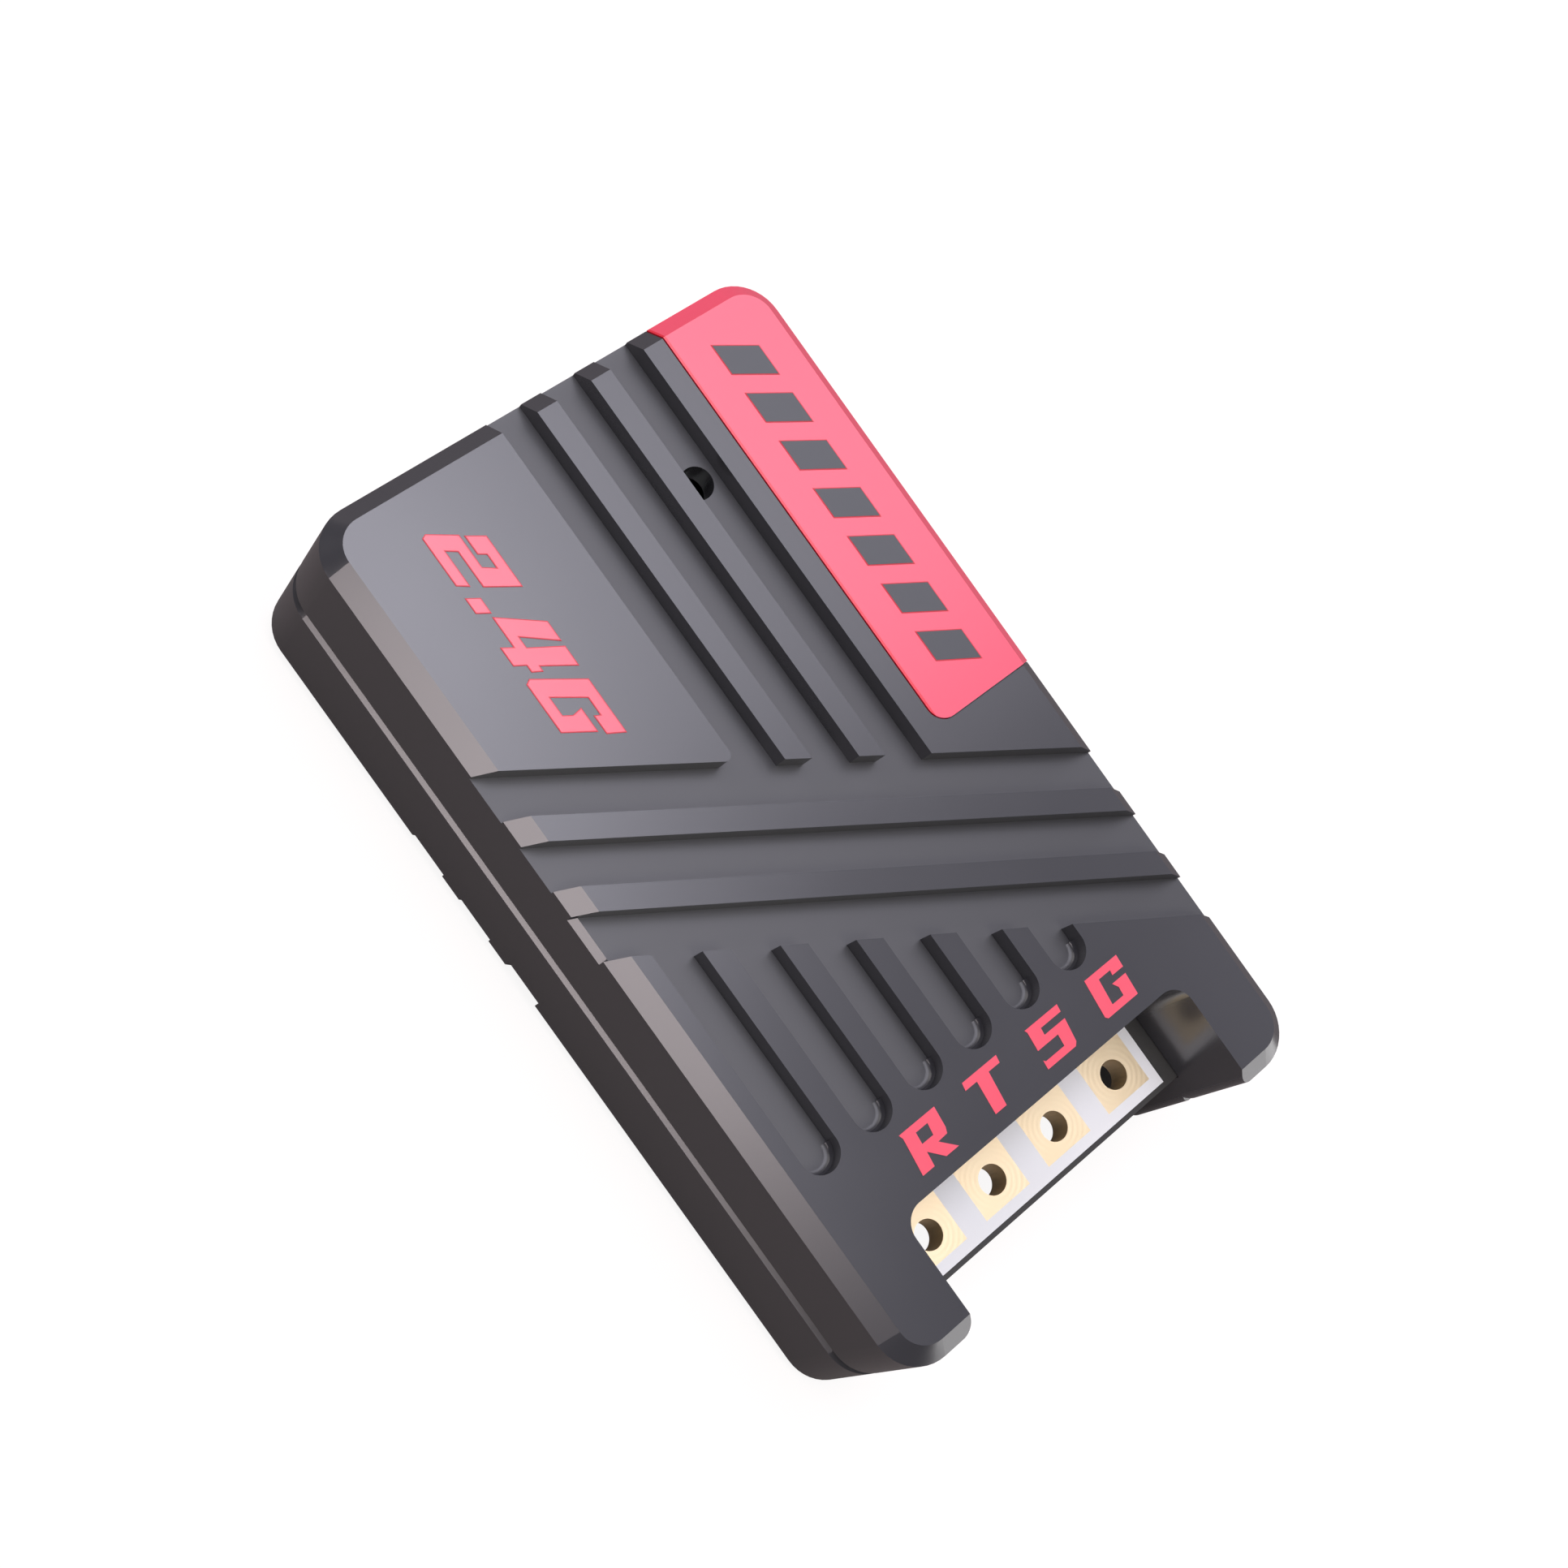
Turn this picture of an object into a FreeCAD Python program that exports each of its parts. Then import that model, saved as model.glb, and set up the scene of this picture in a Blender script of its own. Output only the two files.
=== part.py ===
# Rc receiver: a small flat two-part moulded case with a rib pattern, a red inlaid plate,
# and a circuit board whose four plated pads show in a notch at the front end.
# Frame: millimetres, origin in the middle of the plan on the face it lies on, +Z up,
# long side along Y, the notch and its pads at -Y, the red plate at +X.

import FreeCAD
import Part
import math
import os

Vec = FreeCAD.Vector

# Case, outside
case_length = 26.77
case_width = 15.82
case_height = 6.96
corner_radius = 1.36
edge_chamfer = 0.505
wall = 1.00
groove_skin = 0.80
cut_margin = 1.00

# Raised pattern, the same on both faces
groove_width = 1.215
rib_width = 0.685
groove_depth = 0.66
band_angle = 30.0
band_from_front = 14.625
band_count = 3
first_rib_x = -0.50
lengthwise_grooves = 3
pocket_from_side = 2.20
pocket_from_notch = 2.06
pocket_count = 6
pocket_end_fillet = 0.20
plate_corner_radius = 0.19
foot_chamfer = 0.19
light_hole_from_wall = 0.70
light_hole_from_back = 4.295
light_hole_diameter = 1.00

# Notch for the wires at the front end, between two prongs
prong_width = 2.39
notch_depth = 3.555
notch_corner_radius = 0.66
upper_mouth_radius = 0.34
lower_mouth_radius = 0.28

# Joint between the two shells
joint_chamfer = 0.207
lip_thickness = 0.40
lip_height = 0.50
lip_clearance = 0.05
peg_radius = 0.50
peg_length = 1.00
peg_clearance = 0.05
peg_from_side = 0.96
peg_from_front = 2.485

# Red plate
accent_from_groove = 0.72
accent_from_band = 1.42
accent_corner_radius = 0.55
accent_thickness = 0.25
accent_proud = 0.03
accent_clearance = 0.03

# Circuit board
board_face_drop = 3.018
board_stack = 0.89
coating = 0.03
board_side_gap = 0.10
board_from_front = 0.885
board_corner_radius = 0.40
tab_overlap = 0.48
tab_clearance = 0.03
ledge_width = 0.60
ledge_length = 1.40
ledge_rows = 3
ledge_gaps = (0.53, 7.40, 8.60, 0.485)

# Pads and the printed area round them
pad_pitch = 2.54
pad_width = 1.75
pad_length = 2.81
pad_from_edge = 0.49
pad_hole_from_end = 0.77
pad_hole_diameter = 0.88
barrel_thickness = 0.06
patch_margin = 0.50
patch_from_edge = 0.16
patch_length = 3.39

# Parts on the board: size x, size y, height
controller_size = (5.00, 5.00, 0.85)
radio_size = (4.00, 4.00, 0.85)
amplifier_size = (3.00, 3.00, 0.75)
crystal_size = (3.20, 2.50, 0.75)
oscillator_size = (2.50, 2.00, 0.70)
filter_size = (1.60, 0.80, 0.60)
antenna_size = (5.00, 0.90, 1.00)
led_size = (1.60, 0.80, 0.45)
supply_size = (3.20, 1.60, 1.20)
regulator_size = (2.90, 1.30, 1.10)
capacitor_size = (1.00, 0.50, 0.50)
resistor_size = (1.00, 0.50, 0.35)
choke_size = (1.60, 0.80, 0.80)
chip_edge_chamfer = 0.06
can_edge_radius = 0.15
lead_width = 0.40
lead_reach = 0.55
lead_thickness = 0.12
lead_height = 0.45
lead_spacing = 0.95

# Free room between them, from edge to edge of the board; it widens and narrows with the board
main_column_gaps = (1.03, 1.40, 1.30, 0.70, 0.40, 0.30, 0.585)
side_column_gaps = (1.13, 1.55, 3.75, 4.09)
main_row_gaps = (0.61, 0.10, 1.40, 2.31)
choke_gaps = (0.70, 0.60)
led_resistor_gaps = (1.00, 1.41)
edge_resistor_gaps = (1.80, 1.45)

# Places beside a chip: gap to its side, and steps along that side from its middle
supply_shift = 1.40
regulator_shift = 0.40
oscillator_gap = 0.95
controller_left_steps = (0.60, -0.60)
controller_right_gap = 0.20
controller_right_steps = (2.00, 3.20)
radio_left_gap = 0.20
radio_left_steps = (-0.50, 0.50)
amplifier_left_gap = 0.30
amplifier_left_steps = (-0.40, 0.60)
supply_left_gap = 1.60
supply_left_steps = (0.30, -0.60)
controller_front_gap = 0.50
controller_front_steps = (-2.70,)
edge_resistor_inset = 1.01
led_resistor_steps = (-0.49, 0.51)
choke_steps = (-0.80, 0.50)

# Derived sizes
half_width = case_width / 2
half_length = case_length / 2
diagonal = math.sqrt(2)
pitch = groove_width + rib_width
slope = math.tan(math.radians(band_angle))
band_start_y = -half_length + band_from_front
last_groove_x = first_rib_x + (lengthwise_grooves - 1) * pitch
light_hole_x = last_groove_x - light_hole_from_wall
light_hole_y = half_length - light_hole_from_back
accent_left_x = last_groove_x + accent_from_groove
accent_front_y = band_start_y - accent_from_band
notch_half_width = half_width - prong_width
notch_back_y = -half_length + notch_depth
pocket_wall_x = -half_width + pocket_from_side
pocket_end_y = notch_back_y + pocket_from_notch
peg_x = half_width - peg_from_side
peg_y = -half_length + peg_from_front
groove_floor_z = case_height - groove_depth
ceiling_z = groove_floor_z - groove_skin
floor_z = case_height - ceiling_z
joint_z = case_height / 2
board_top_z = case_height - board_face_drop
board_bottom_z = board_top_z - board_stack
laminate_top_z = board_top_z - coating
laminate_bottom_z = board_bottom_z + coating
cavity_front_y = notch_back_y + wall
cavity_half_width = half_width - wall
cavity_back_y = half_length - wall
cavity_corner = corner_radius - wall
board_half_width = cavity_half_width - board_side_gap
board_main_y = cavity_front_y + board_side_gap
board_back_y = cavity_back_y - board_side_gap
board_front_y = -half_length + board_from_front
tab_half_width = notch_half_width + tab_overlap
patch_half_width = notch_half_width - patch_margin
patch_front_y = board_front_y + patch_from_edge
patch_back_y = patch_front_y + patch_length
pad_front_y = board_front_y + pad_from_edge
pad_back_y = pad_front_y + pad_length
pad_hole_y = pad_front_y + pad_hole_from_end
pad_hole_radius = pad_hole_diameter / 2
pad_columns = [(i - 1.5) * pad_pitch for i in range(4)]
body_bottom_z = laminate_top_z


def spread(start, end, sizes, gaps):
    """Middles of pieces in a row, with the gaps round them stretched alike to fill the room."""
    stretch = (end - start - sum(sizes)) / sum(gaps)
    middles = []
    place = start
    for size, gap in zip(sizes, gaps):
        place += gap * stretch
        middles.append(place + size / 2)
        place += size
    return middles


def face_from(corners, z):
    """Flat face at height z. Each corner is x, y and the radius of its rounding."""
    count = len(corners)
    edges = []
    ends = []
    for i in range(count):
        here = Vec(corners[i][0], corners[i][1], z)
        back = Vec(corners[i - 1][0], corners[i - 1][1], z) - here
        ahead = Vec(corners[(i + 1) % count][0], corners[(i + 1) % count][1], z) - here
        radius = corners[i][2]
        if radius <= 0:
            ends.append((here, None, here))
            continue
        back.normalize()
        ahead.normalize()
        half_angle = back.getAngle(ahead) / 2
        reach = radius / math.tan(half_angle)
        middle = back + ahead
        middle.normalize()
        centre = here + middle * (radius / math.sin(half_angle))
        ends.append((here + back * reach, centre - middle * radius, here + ahead * reach))
    for i in range(count):
        start, through, stop = ends[i]
        if through is not None:
            edges.append(Part.Arc(start, through, stop).toShape())
        following = ends[(i + 1) % count][0]
        if stop.distanceToPoint(following) > 1e-6:
            edges.append(Part.makeLine(stop, following))
    return Part.Face(Part.Wire(edges))


def prism(corners, z0, z1):
    """Straight prism over a rounded outline from z0 up to z1."""
    return face_from(corners, z0).extrude(Vec(0, 0, z1 - z0))


def rectangle(x0, x1, y0, y1, radius=0.0):
    """Corner list of a rectangle with one rounding radius."""
    return [(x0, y0, radius), (x1, y0, radius), (x1, y1, radius), (x0, y1, radius)]


def box(x0, x1, y0, y1, z0, z1):
    """Plain block between two corners."""
    return Part.makeBox(x1 - x0, y1 - y0, z1 - z0, Vec(x0, y0, z0))


def block(spot, z0):
    """Plain block of a board part from its centre, size and foot height."""
    x, y, size_x, size_y, height = spot
    return box(x - size_x / 2, x + size_x / 2, y - size_y / 2, y + size_y / 2, z0, z0 + height)


def fused(pieces):
    """One shape from several that touch or overlap."""
    first, rest = pieces[0], pieces[1:]
    return first.fuse(rest).removeSplitter() if rest else first


def flipped(shape):
    """The shape turned over about the middle height of the case, with the plan kept."""
    return shape.mirror(Vec(0, 0, case_height / 2), Vec(0, 0, 1))


def edges_at(shape, z):
    """Edges that lie wholly at height z."""
    return [
        edge for edge in shape.Edges
        if abs(edge.BoundBox.ZMin - z) < 1e-6 and abs(edge.BoundBox.ZMax - z) < 1e-6
    ]


def case_blank(inset, bottom_z, top_z, bottom_chamfer, top_chamfer):
    """Rounded block with the plan of the case moved inward by an inset, and its two rims chamfered."""
    outline = rectangle(
        -half_width + inset, half_width - inset,
        -half_length + inset, half_length - inset,
        corner_radius - inset,
    )
    body = prism(outline, bottom_z, top_z)
    if bottom_chamfer > 0:
        body = body.makeChamfer(bottom_chamfer, edges_at(body, bottom_z))
    return body.makeChamfer(top_chamfer, edges_at(body, top_z))


def band_y(index, x):
    """Y of the back edge of a slanted groove at a given x."""
    return band_start_y - index * pitch / math.cos(math.radians(band_angle)) - slope * x


def slanted_grooves():
    """The slanted grooves across the full width, as cutters open at the top."""
    reach = half_width + cut_margin
    drop = groove_width / math.cos(math.radians(band_angle))
    cutters = []
    for index in range(band_count):
        left = band_y(index, -reach)
        right = band_y(index, reach)
        corners = [(-reach, left - drop, 0), (reach, right - drop, 0), (reach, right, 0), (-reach, left, 0)]
        cutters.append(prism(corners, groove_floor_z, case_height + cut_margin))
    return cutters


def lengthwise_groove_cutters():
    """The grooves along Y, from inside the first slanted groove out through the back edge."""
    back = half_length + cut_margin
    sink = groove_width / 2
    cutters = []
    for index in range(lengthwise_grooves):
        right = first_rib_x + index * pitch
        left = right - groove_width
        corners = [(left, band_y(0, left) - sink, 0), (right, band_y(0, right) - sink, 0),
                   (right, back, 0), (left, back, 0)]
        cutters.append(prism(corners, groove_floor_z, case_height + cut_margin))
    return cutters


def plate_corner_cutter():
    """Small cutter that rounds the free corner of the large plate beside the grooves."""
    x = first_rib_x - groove_width
    y = band_y(0, x)
    half_angle = math.radians(90 - band_angle) / 2
    reach = plate_corner_radius / math.tan(half_angle)
    along = Vec(-math.cos(math.radians(band_angle)), math.sin(math.radians(band_angle)), 0)
    tip = Vec(x, y, 0)
    first = tip + Vec(0, 1, 0) * reach
    second = tip + along * reach
    middle = Vec(0, 1, 0) + along
    middle.normalize()
    centre = tip + middle * (plate_corner_radius / math.sin(half_angle))
    arc = Part.Arc(first, centre - middle * plate_corner_radius, second).toShape()
    face = Part.Face(Part.Wire([Part.makeLine(tip, first), arc, Part.makeLine(second, tip)]))
    face.translate(Vec(0, 0, groove_floor_z))
    return face.extrude(Vec(0, 0, groove_depth + cut_margin))


def pocket_cutters():
    """The round-ended pockets that open into the last slanted groove."""
    radius = groove_width / 2
    height = groove_depth + cut_margin
    centre_y = pocket_end_y + radius
    cutters = []
    for index in range(pocket_count):
        right = pocket_wall_x + index * pitch
        left = right - groove_width
        middle = right - radius
        end = Part.makeCylinder(radius, height, Vec(middle, centre_y, groove_floor_z))
        end = end.makeFillet(pocket_end_fillet, edges_at(end, groove_floor_z))
        last = band_count - 1
        sink = radius
        corners = [(left, centre_y, 0), (right, centre_y, 0),
                   (right, band_y(last, right) - sink, 0), (left, band_y(last, left) - sink, 0)]
        cutters.append(end)
        cutters.append(prism(corners, groove_floor_z, case_height + cut_margin))
    return cutters


def foot_chamfer_cutter():
    """Small bevel where the floor of the last slanted groove runs out at the left side."""
    last = band_count - 1
    drop = groove_width / math.cos(math.radians(band_angle))
    inner = -half_width + foot_chamfer
    outer = -half_width - foot_chamfer
    start = band_y(last, inner) - drop - cut_margin
    section = Part.makePolygon([
        Vec(inner, start, groove_floor_z),
        Vec(outer, start, groove_floor_z),
        Vec(outer, start, groove_floor_z - 2 * foot_chamfer),
        Vec(inner, start, groove_floor_z),
    ])
    wedge = Part.Face(section).extrude(Vec(0, drop + 2 * cut_margin, 0))
    corners = [(outer, band_y(last, outer) - drop, 0),
               (inner + cut_margin, band_y(last, inner + cut_margin) - drop, 0),
               (inner + cut_margin, band_y(last, inner + cut_margin), 0),
               (outer, band_y(last, outer), 0)]
    slab = prism(corners, groove_floor_z - 2 * foot_chamfer, groove_floor_z + cut_margin)
    return wedge.common(slab)


def pattern_cutters():
    """Every cutter of the raised pattern for the upper face."""
    cutters = slanted_grooves() + lengthwise_groove_cutters() + pocket_cutters()
    return cutters + [foot_chamfer_cutter(), plate_corner_cutter()]


def notch_cutter(ease):
    """The open notch at the front end, with rounded back corners and a mouth eased by a radius."""
    front = -half_length - cut_margin
    half = notch_half_width
    body = prism(
        [(-half, front, 0), (half, front, 0),
         (half, notch_back_y, notch_corner_radius), (-half, notch_back_y, notch_corner_radius)],
        -cut_margin, case_height + cut_margin,
    )
    easings = []
    for side in (-1, 1):
        x0, x1 = sorted((side * half, side * (half + ease)))
        corner = box(
            x0, x1, -half_length - cut_margin, -half_length + ease, -cut_margin, case_height + cut_margin,
        )
        post = Part.makeCylinder(
            ease, case_height + 2 * cut_margin,
            Vec(side * (half + ease), -half_length + ease, -cut_margin),
        )
        easings.append(corner.cut(post))
    return fused([body] + easings)


def cavity(z0, z1):
    """Inside space behind the notch wall."""
    outline = rectangle(-cavity_half_width, cavity_half_width, cavity_front_y, cavity_back_y, cavity_corner)
    return prism(outline, z0, z1)


def tab_recess():
    """Room in both shells for the narrow front end of the board."""
    half = tab_half_width + tab_clearance
    return box(
        -half, half, board_front_y - tab_clearance, cavity_front_y + cut_margin,
        board_bottom_z, board_top_z,
    )


def lip_ring(outer_inset, inner_inset, z0, z1):
    """Ring along the side and back walls, between two insets from the case outline."""
    outer = prism(rectangle(
        -half_width + outer_inset, half_width - outer_inset,
        cavity_front_y, half_length - outer_inset, corner_radius - outer_inset,
    ), z0, z1)
    inner = prism(rectangle(
        -half_width + inner_inset, half_width - inner_inset,
        cavity_front_y, half_length - inner_inset, corner_radius - inner_inset,
    ), z0, z1)
    front = box(-half_width, half_width, cavity_front_y - cut_margin, cavity_front_y + cut_margin, z0, z1)
    return outer.cut(inner).cut(front)


def ledges(z0, z1):
    """Small blocks on the side walls that hold the board."""
    pieces = []
    rows = spread(cavity_front_y, cavity_back_y, [ledge_length] * ledge_rows, ledge_gaps)
    inner = cavity_half_width - ledge_width
    outer = cavity_half_width + wall / 2
    for side in (-1, 1):
        x0, x1 = sorted((side * inner, side * outer))
        for y in rows:
            pieces.append(box(x0, x1, y - ledge_length / 2, y + ledge_length / 2, z0, z1))
    return pieces


def accent_region(gap, z0):
    """Plan of the red plate, open to the right and to the back."""
    out = half_width + cut_margin
    back = half_length + cut_margin
    corners = [(accent_left_x - gap, accent_front_y - gap, accent_corner_radius + gap),
               (out, accent_front_y - gap, 0), (out, back, 0), (accent_left_x - gap, back, 0)]
    return prism(corners, z0, case_height + cut_margin)


def accent_core():
    """The case outside moved inward by the thickness of the red plate."""
    shift = accent_thickness
    chamfer = edge_chamfer - shift - shift + shift * diagonal
    return case_blank(shift, shift, case_height - shift, 0, chamfer)


def accent_skin():
    """The case outside raised a little on its top and its chamfer."""
    rise = accent_proud
    top = case_height + rise
    chamfer = edge_chamfer + rise - rise * diagonal
    return case_blank(0, 0, top, 0, chamfer)


def make_accent_plate():
    region = accent_region(0, case_height - edge_chamfer)
    return accent_skin().common(region).cut(accent_core())


def accent_recess():
    region = accent_region(accent_clearance, case_height - edge_chamfer - accent_clearance)
    return region.cut(accent_core())


def make_upper_shell():
    body = case_blank(0, joint_z, case_height, joint_chamfer, edge_chamfer)
    notch = notch_cutter(upper_mouth_radius)
    body = body.cut([cavity(joint_z, ceiling_z), notch, accent_recess(), tab_recess()])
    body = body.cut(pattern_cutters())
    lip_inset = wall - lip_thickness
    lip = lip_ring(lip_inset, wall, joint_z - lip_height, joint_z + wall / 2)
    pegs = [
        Part.makeCylinder(peg_radius, peg_length + wall, Vec(side * peg_x, peg_y, joint_z - peg_length))
        for side in (-1, 1)
    ]
    body = fused([body, lip] + pegs + ledges(board_top_z - coating, ceiling_z + groove_skin / 2))
    hole = Part.makeCylinder(
        light_hole_diameter / 2, groove_skin + cut_margin,
        Vec(light_hole_x, light_hole_y, ceiling_z - cut_margin / 2),
    )
    return body.cut(hole)


def make_lower_shell():
    body = case_blank(0, 0, joint_z, edge_chamfer, joint_chamfer)
    body = body.cut([cavity(floor_z, joint_z), notch_cutter(lower_mouth_radius), tab_recess()])
    body = body.cut([flipped(cutter) for cutter in pattern_cutters()])
    lip_inset = wall - lip_thickness - lip_clearance
    rebate = lip_ring(lip_inset, wall, joint_z - lip_height - lip_clearance, joint_z)
    sockets = [
        Part.makeCylinder(
            peg_radius + peg_clearance, peg_length + peg_clearance,
            Vec(side * peg_x, peg_y, joint_z - peg_length - peg_clearance),
        )
        for side in (-1, 1)
    ]
    body = fused([body] + ledges(floor_z - groove_skin / 2, laminate_bottom_z))
    return body.cut([rebate] + sockets)


def make_circuit_board():
    main = prism(
        rectangle(-board_half_width, board_half_width, board_main_y, board_back_y,
                  board_corner_radius),
        laminate_bottom_z, laminate_top_z,
    )
    tab = box(
        -tab_half_width, tab_half_width, board_front_y, cavity_front_y + wall,
        laminate_bottom_z, laminate_top_z,
    )
    holes = [
        Part.makeCylinder(
            pad_hole_radius + barrel_thickness, board_stack, Vec(x, pad_hole_y, board_bottom_z),
        )
        for x in pad_columns
    ]
    return fused([main, tab]).cut(holes)


def pad_land(x, z0):
    """Rectangular plated area round one hole."""
    return box(x - pad_width / 2, x + pad_width / 2, pad_front_y, pad_back_y, z0, z0 + coating)


def make_legend_patch():
    patch = box(
        -patch_half_width, patch_half_width, patch_front_y, patch_back_y, laminate_top_z, board_top_z,
    )
    return patch.cut([pad_land(x, laminate_top_z) for x in pad_columns])


def make_pad(x):
    barrel = Part.makeCylinder(
        pad_hole_radius + barrel_thickness, board_stack, Vec(x, pad_hole_y, board_bottom_z),
    )
    hole = Part.makeCylinder(
        pad_hole_radius, board_stack + 2 * cut_margin, Vec(x, pad_hole_y, board_bottom_z - cut_margin),
    )
    lands = [pad_land(x, laminate_top_z), pad_land(x, board_bottom_z)]
    return fused([barrel] + lands).cut(hole)


def chip(spot):
    """Moulded chip body with bevelled upper edges."""
    body = block(spot, body_bottom_z)
    return body.makeChamfer(chip_edge_chamfer, edges_at(body, body_bottom_z + spot[4]))


def metal_can(spot):
    """Soldered metal can with rounded upper edges."""
    body = block(spot, body_bottom_z)
    return body.makeFillet(can_edge_radius, edges_at(body, body_bottom_z + spot[4]))


def make_regulator_leads(spot):
    x, y, size_x, size_y, height = spot
    pieces = []
    feet = [(x - lead_spacing, -1), (x + lead_spacing, -1), (x, 1)]
    for foot_x, side in feet:
        near = y + side * size_y / 2
        far = near + side * lead_reach
        knee = near + side * lead_thickness
        z = body_bottom_z
        riser = sorted((near, knee))
        foot = sorted((near, far))
        pieces.append(fused([
            box(foot_x - lead_width / 2, foot_x + lead_width / 2, riser[0], riser[1], z, z + lead_height),
            box(foot_x - lead_width / 2, foot_x + lead_width / 2, foot[0], foot[1], z, z + lead_thickness),
        ]))
    return Part.makeCompound(pieces)


def beside(spot, side, gap, steps, size):
    """Places of small parts in a file along one side of a chip, -1 for its left and 1 for its right."""
    x = spot[0] + side * (spot[2] / 2 + gap + size[0] / 2)
    return [(x, spot[1] + step, *size) for step in steps]


def column_middles():
    """X of the outer capacitors, of the main column of chips and of the side column."""
    widths = [capacitor_size[0], controller_size[0], crystal_size[0]]
    return spread(-board_half_width, board_half_width, widths, main_row_gaps)


def main_spots():
    """Centre, size and height of the larger parts, in two columns from the front to the back."""
    main_x, side_x = column_middles()[1:]
    sizes = [supply_size, controller_size, radio_size, amplifier_size, filter_size, antenna_size]
    main_y = spread(board_main_y, board_back_y, [size[1] for size in sizes], main_column_gaps)
    with_leads = regulator_size[1] + 2 * lead_reach
    led_front_y = light_hole_y - led_size[1] / 2
    side_y = spread(
        board_main_y, led_front_y, [with_leads, crystal_size[1], oscillator_size[1]], side_column_gaps,
    )
    oscillator_x = main_x + radio_size[0] / 2 + oscillator_gap + oscillator_size[0] / 2
    return {
        "supply_capacitor": (main_x + supply_shift, main_y[0], *supply_size),
        "controller_chip": (main_x, main_y[1], *controller_size),
        "radio_chip": (main_x, main_y[2], *radio_size),
        "amplifier_chip": (main_x, main_y[3], *amplifier_size),
        "band_filter": (main_x, main_y[4], *filter_size),
        "chip_antenna": (main_x, main_y[5], *antenna_size),
        "voltage_regulator": (side_x + regulator_shift, side_y[0], *regulator_size),
        "controller_crystal": (side_x, side_y[1], *crystal_size),
        "radio_oscillator": (oscillator_x, side_y[2], *oscillator_size),
        "status_led": (light_hole_x, light_hole_y, *led_size),
    }


def capacitor_spots(spots):
    """The small capacitors, each beside the chip that it serves."""
    controller = spots["controller_chip"]
    outer_x = column_middles()[0]
    left = [(outer_x, controller[1] + step, *capacitor_size) for step in controller_left_steps]
    right = beside(controller, 1, controller_right_gap, controller_right_steps, capacitor_size)
    radio = beside(spots["radio_chip"], -1, radio_left_gap, radio_left_steps, capacitor_size)
    amplifier = beside(spots["amplifier_chip"], -1, amplifier_left_gap, amplifier_left_steps, capacitor_size)
    return left + right + radio + amplifier


def resistor_spots(spots):
    """The small resistors: beside the supply parts, at the right edge and beside the light."""
    supply = beside(spots["supply_capacitor"], -1, supply_left_gap, supply_left_steps, resistor_size)
    front = beside(spots["controller_chip"], 1, controller_front_gap, controller_front_steps, resistor_size)
    crystal = spots["controller_crystal"]
    oscillator = spots["radio_oscillator"]
    edge_x = board_half_width - edge_resistor_inset - resistor_size[0] / 2
    crystal_back = crystal[1] + crystal[3] / 2
    oscillator_front = oscillator[1] - oscillator[3] / 2
    edge_y = spread(crystal_back, oscillator_front, [resistor_size[1]], edge_resistor_gaps)[0]
    light = spots["status_led"]
    light_x = spread(light[0] + light[2] / 2, board_half_width, [resistor_size[0]], led_resistor_gaps)[0]
    beside_light = [(light_x, light[1] + step, *resistor_size) for step in led_resistor_steps]
    return supply + front + [(edge_x, edge_y, *resistor_size)] + beside_light


def choke_spots(spots):
    """The two chokes between the amplifier and the light."""
    amplifier = spots["amplifier_chip"]
    light = spots["status_led"]
    amplifier_right = amplifier[0] + amplifier[2] / 2
    light_left = light[0] - light[2] / 2
    x = spread(amplifier_right, light_left, [choke_size[0]], choke_gaps)[0]
    return [(x, amplifier[1] + step, *choke_size) for step in choke_steps]


def group(spots):
    """Several small blocks as separate solids."""
    return Part.makeCompound([block(spot, body_bottom_z) for spot in spots])


def make_parts():
    """All sub-parts by name."""
    spots = main_spots()
    parts = {
        "upper_shell": make_upper_shell(),
        "lower_shell": make_lower_shell(),
        "accent_plate": make_accent_plate(),
        "circuit_board": make_circuit_board(),
        "legend_patch": make_legend_patch(),
        "regulator_leads": make_regulator_leads(spots["voltage_regulator"]),
        "chip_antenna": block(spots["chip_antenna"], body_bottom_z),
        "band_filter": block(spots["band_filter"], body_bottom_z),
        "decoupling_capacitors": group(capacitor_spots(spots)),
        "signal_resistors": group(resistor_spots(spots)),
        "choke_inductors": group(choke_spots(spots)),
    }
    moulded = ("controller_chip", "radio_chip", "amplifier_chip", "voltage_regulator")
    for name in moulded + ("supply_capacitor", "status_led"):
        parts[name] = chip(spots[name])
    for name in ("controller_crystal", "radio_oscillator"):
        parts[name] = metal_can(spots[name])
    names = ("pad_receive", "pad_transmit", "pad_supply", "pad_ground")
    for name, x in zip(names, pad_columns):
        parts[name] = make_pad(x)
    return parts


os.makedirs("parts", exist_ok=True)
for part_name, part_shape in make_parts().items():
    if not part_shape.isValid() or not part_shape.Solids:
        raise ValueError(part_name + " isn't a valid solid")
    part_shape.exportStep("parts/" + part_name + ".step")
    print(part_name, len(part_shape.Solids), round(part_shape.Volume, 3), part_shape.BoundBox)
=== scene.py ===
# %% [markdown]
# # A small radio receiver in a two-shell plastic case
# This lesson dresses a radio control receiver, about as big as the end of a thumb.
# The solids come from a construction model: two moulded shells, a coral plate let
# into the top, and a circuit board with four gold solder pads that show in a notch.
# The shapes are right already, so the work here is finishes, printed marks, light
# and a camera. Nothing is moved: every piece lies where the construction model says.

# %% Load the construction model
import math

import bmesh
import bpy
from mathutils import Matrix, Vector


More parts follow.
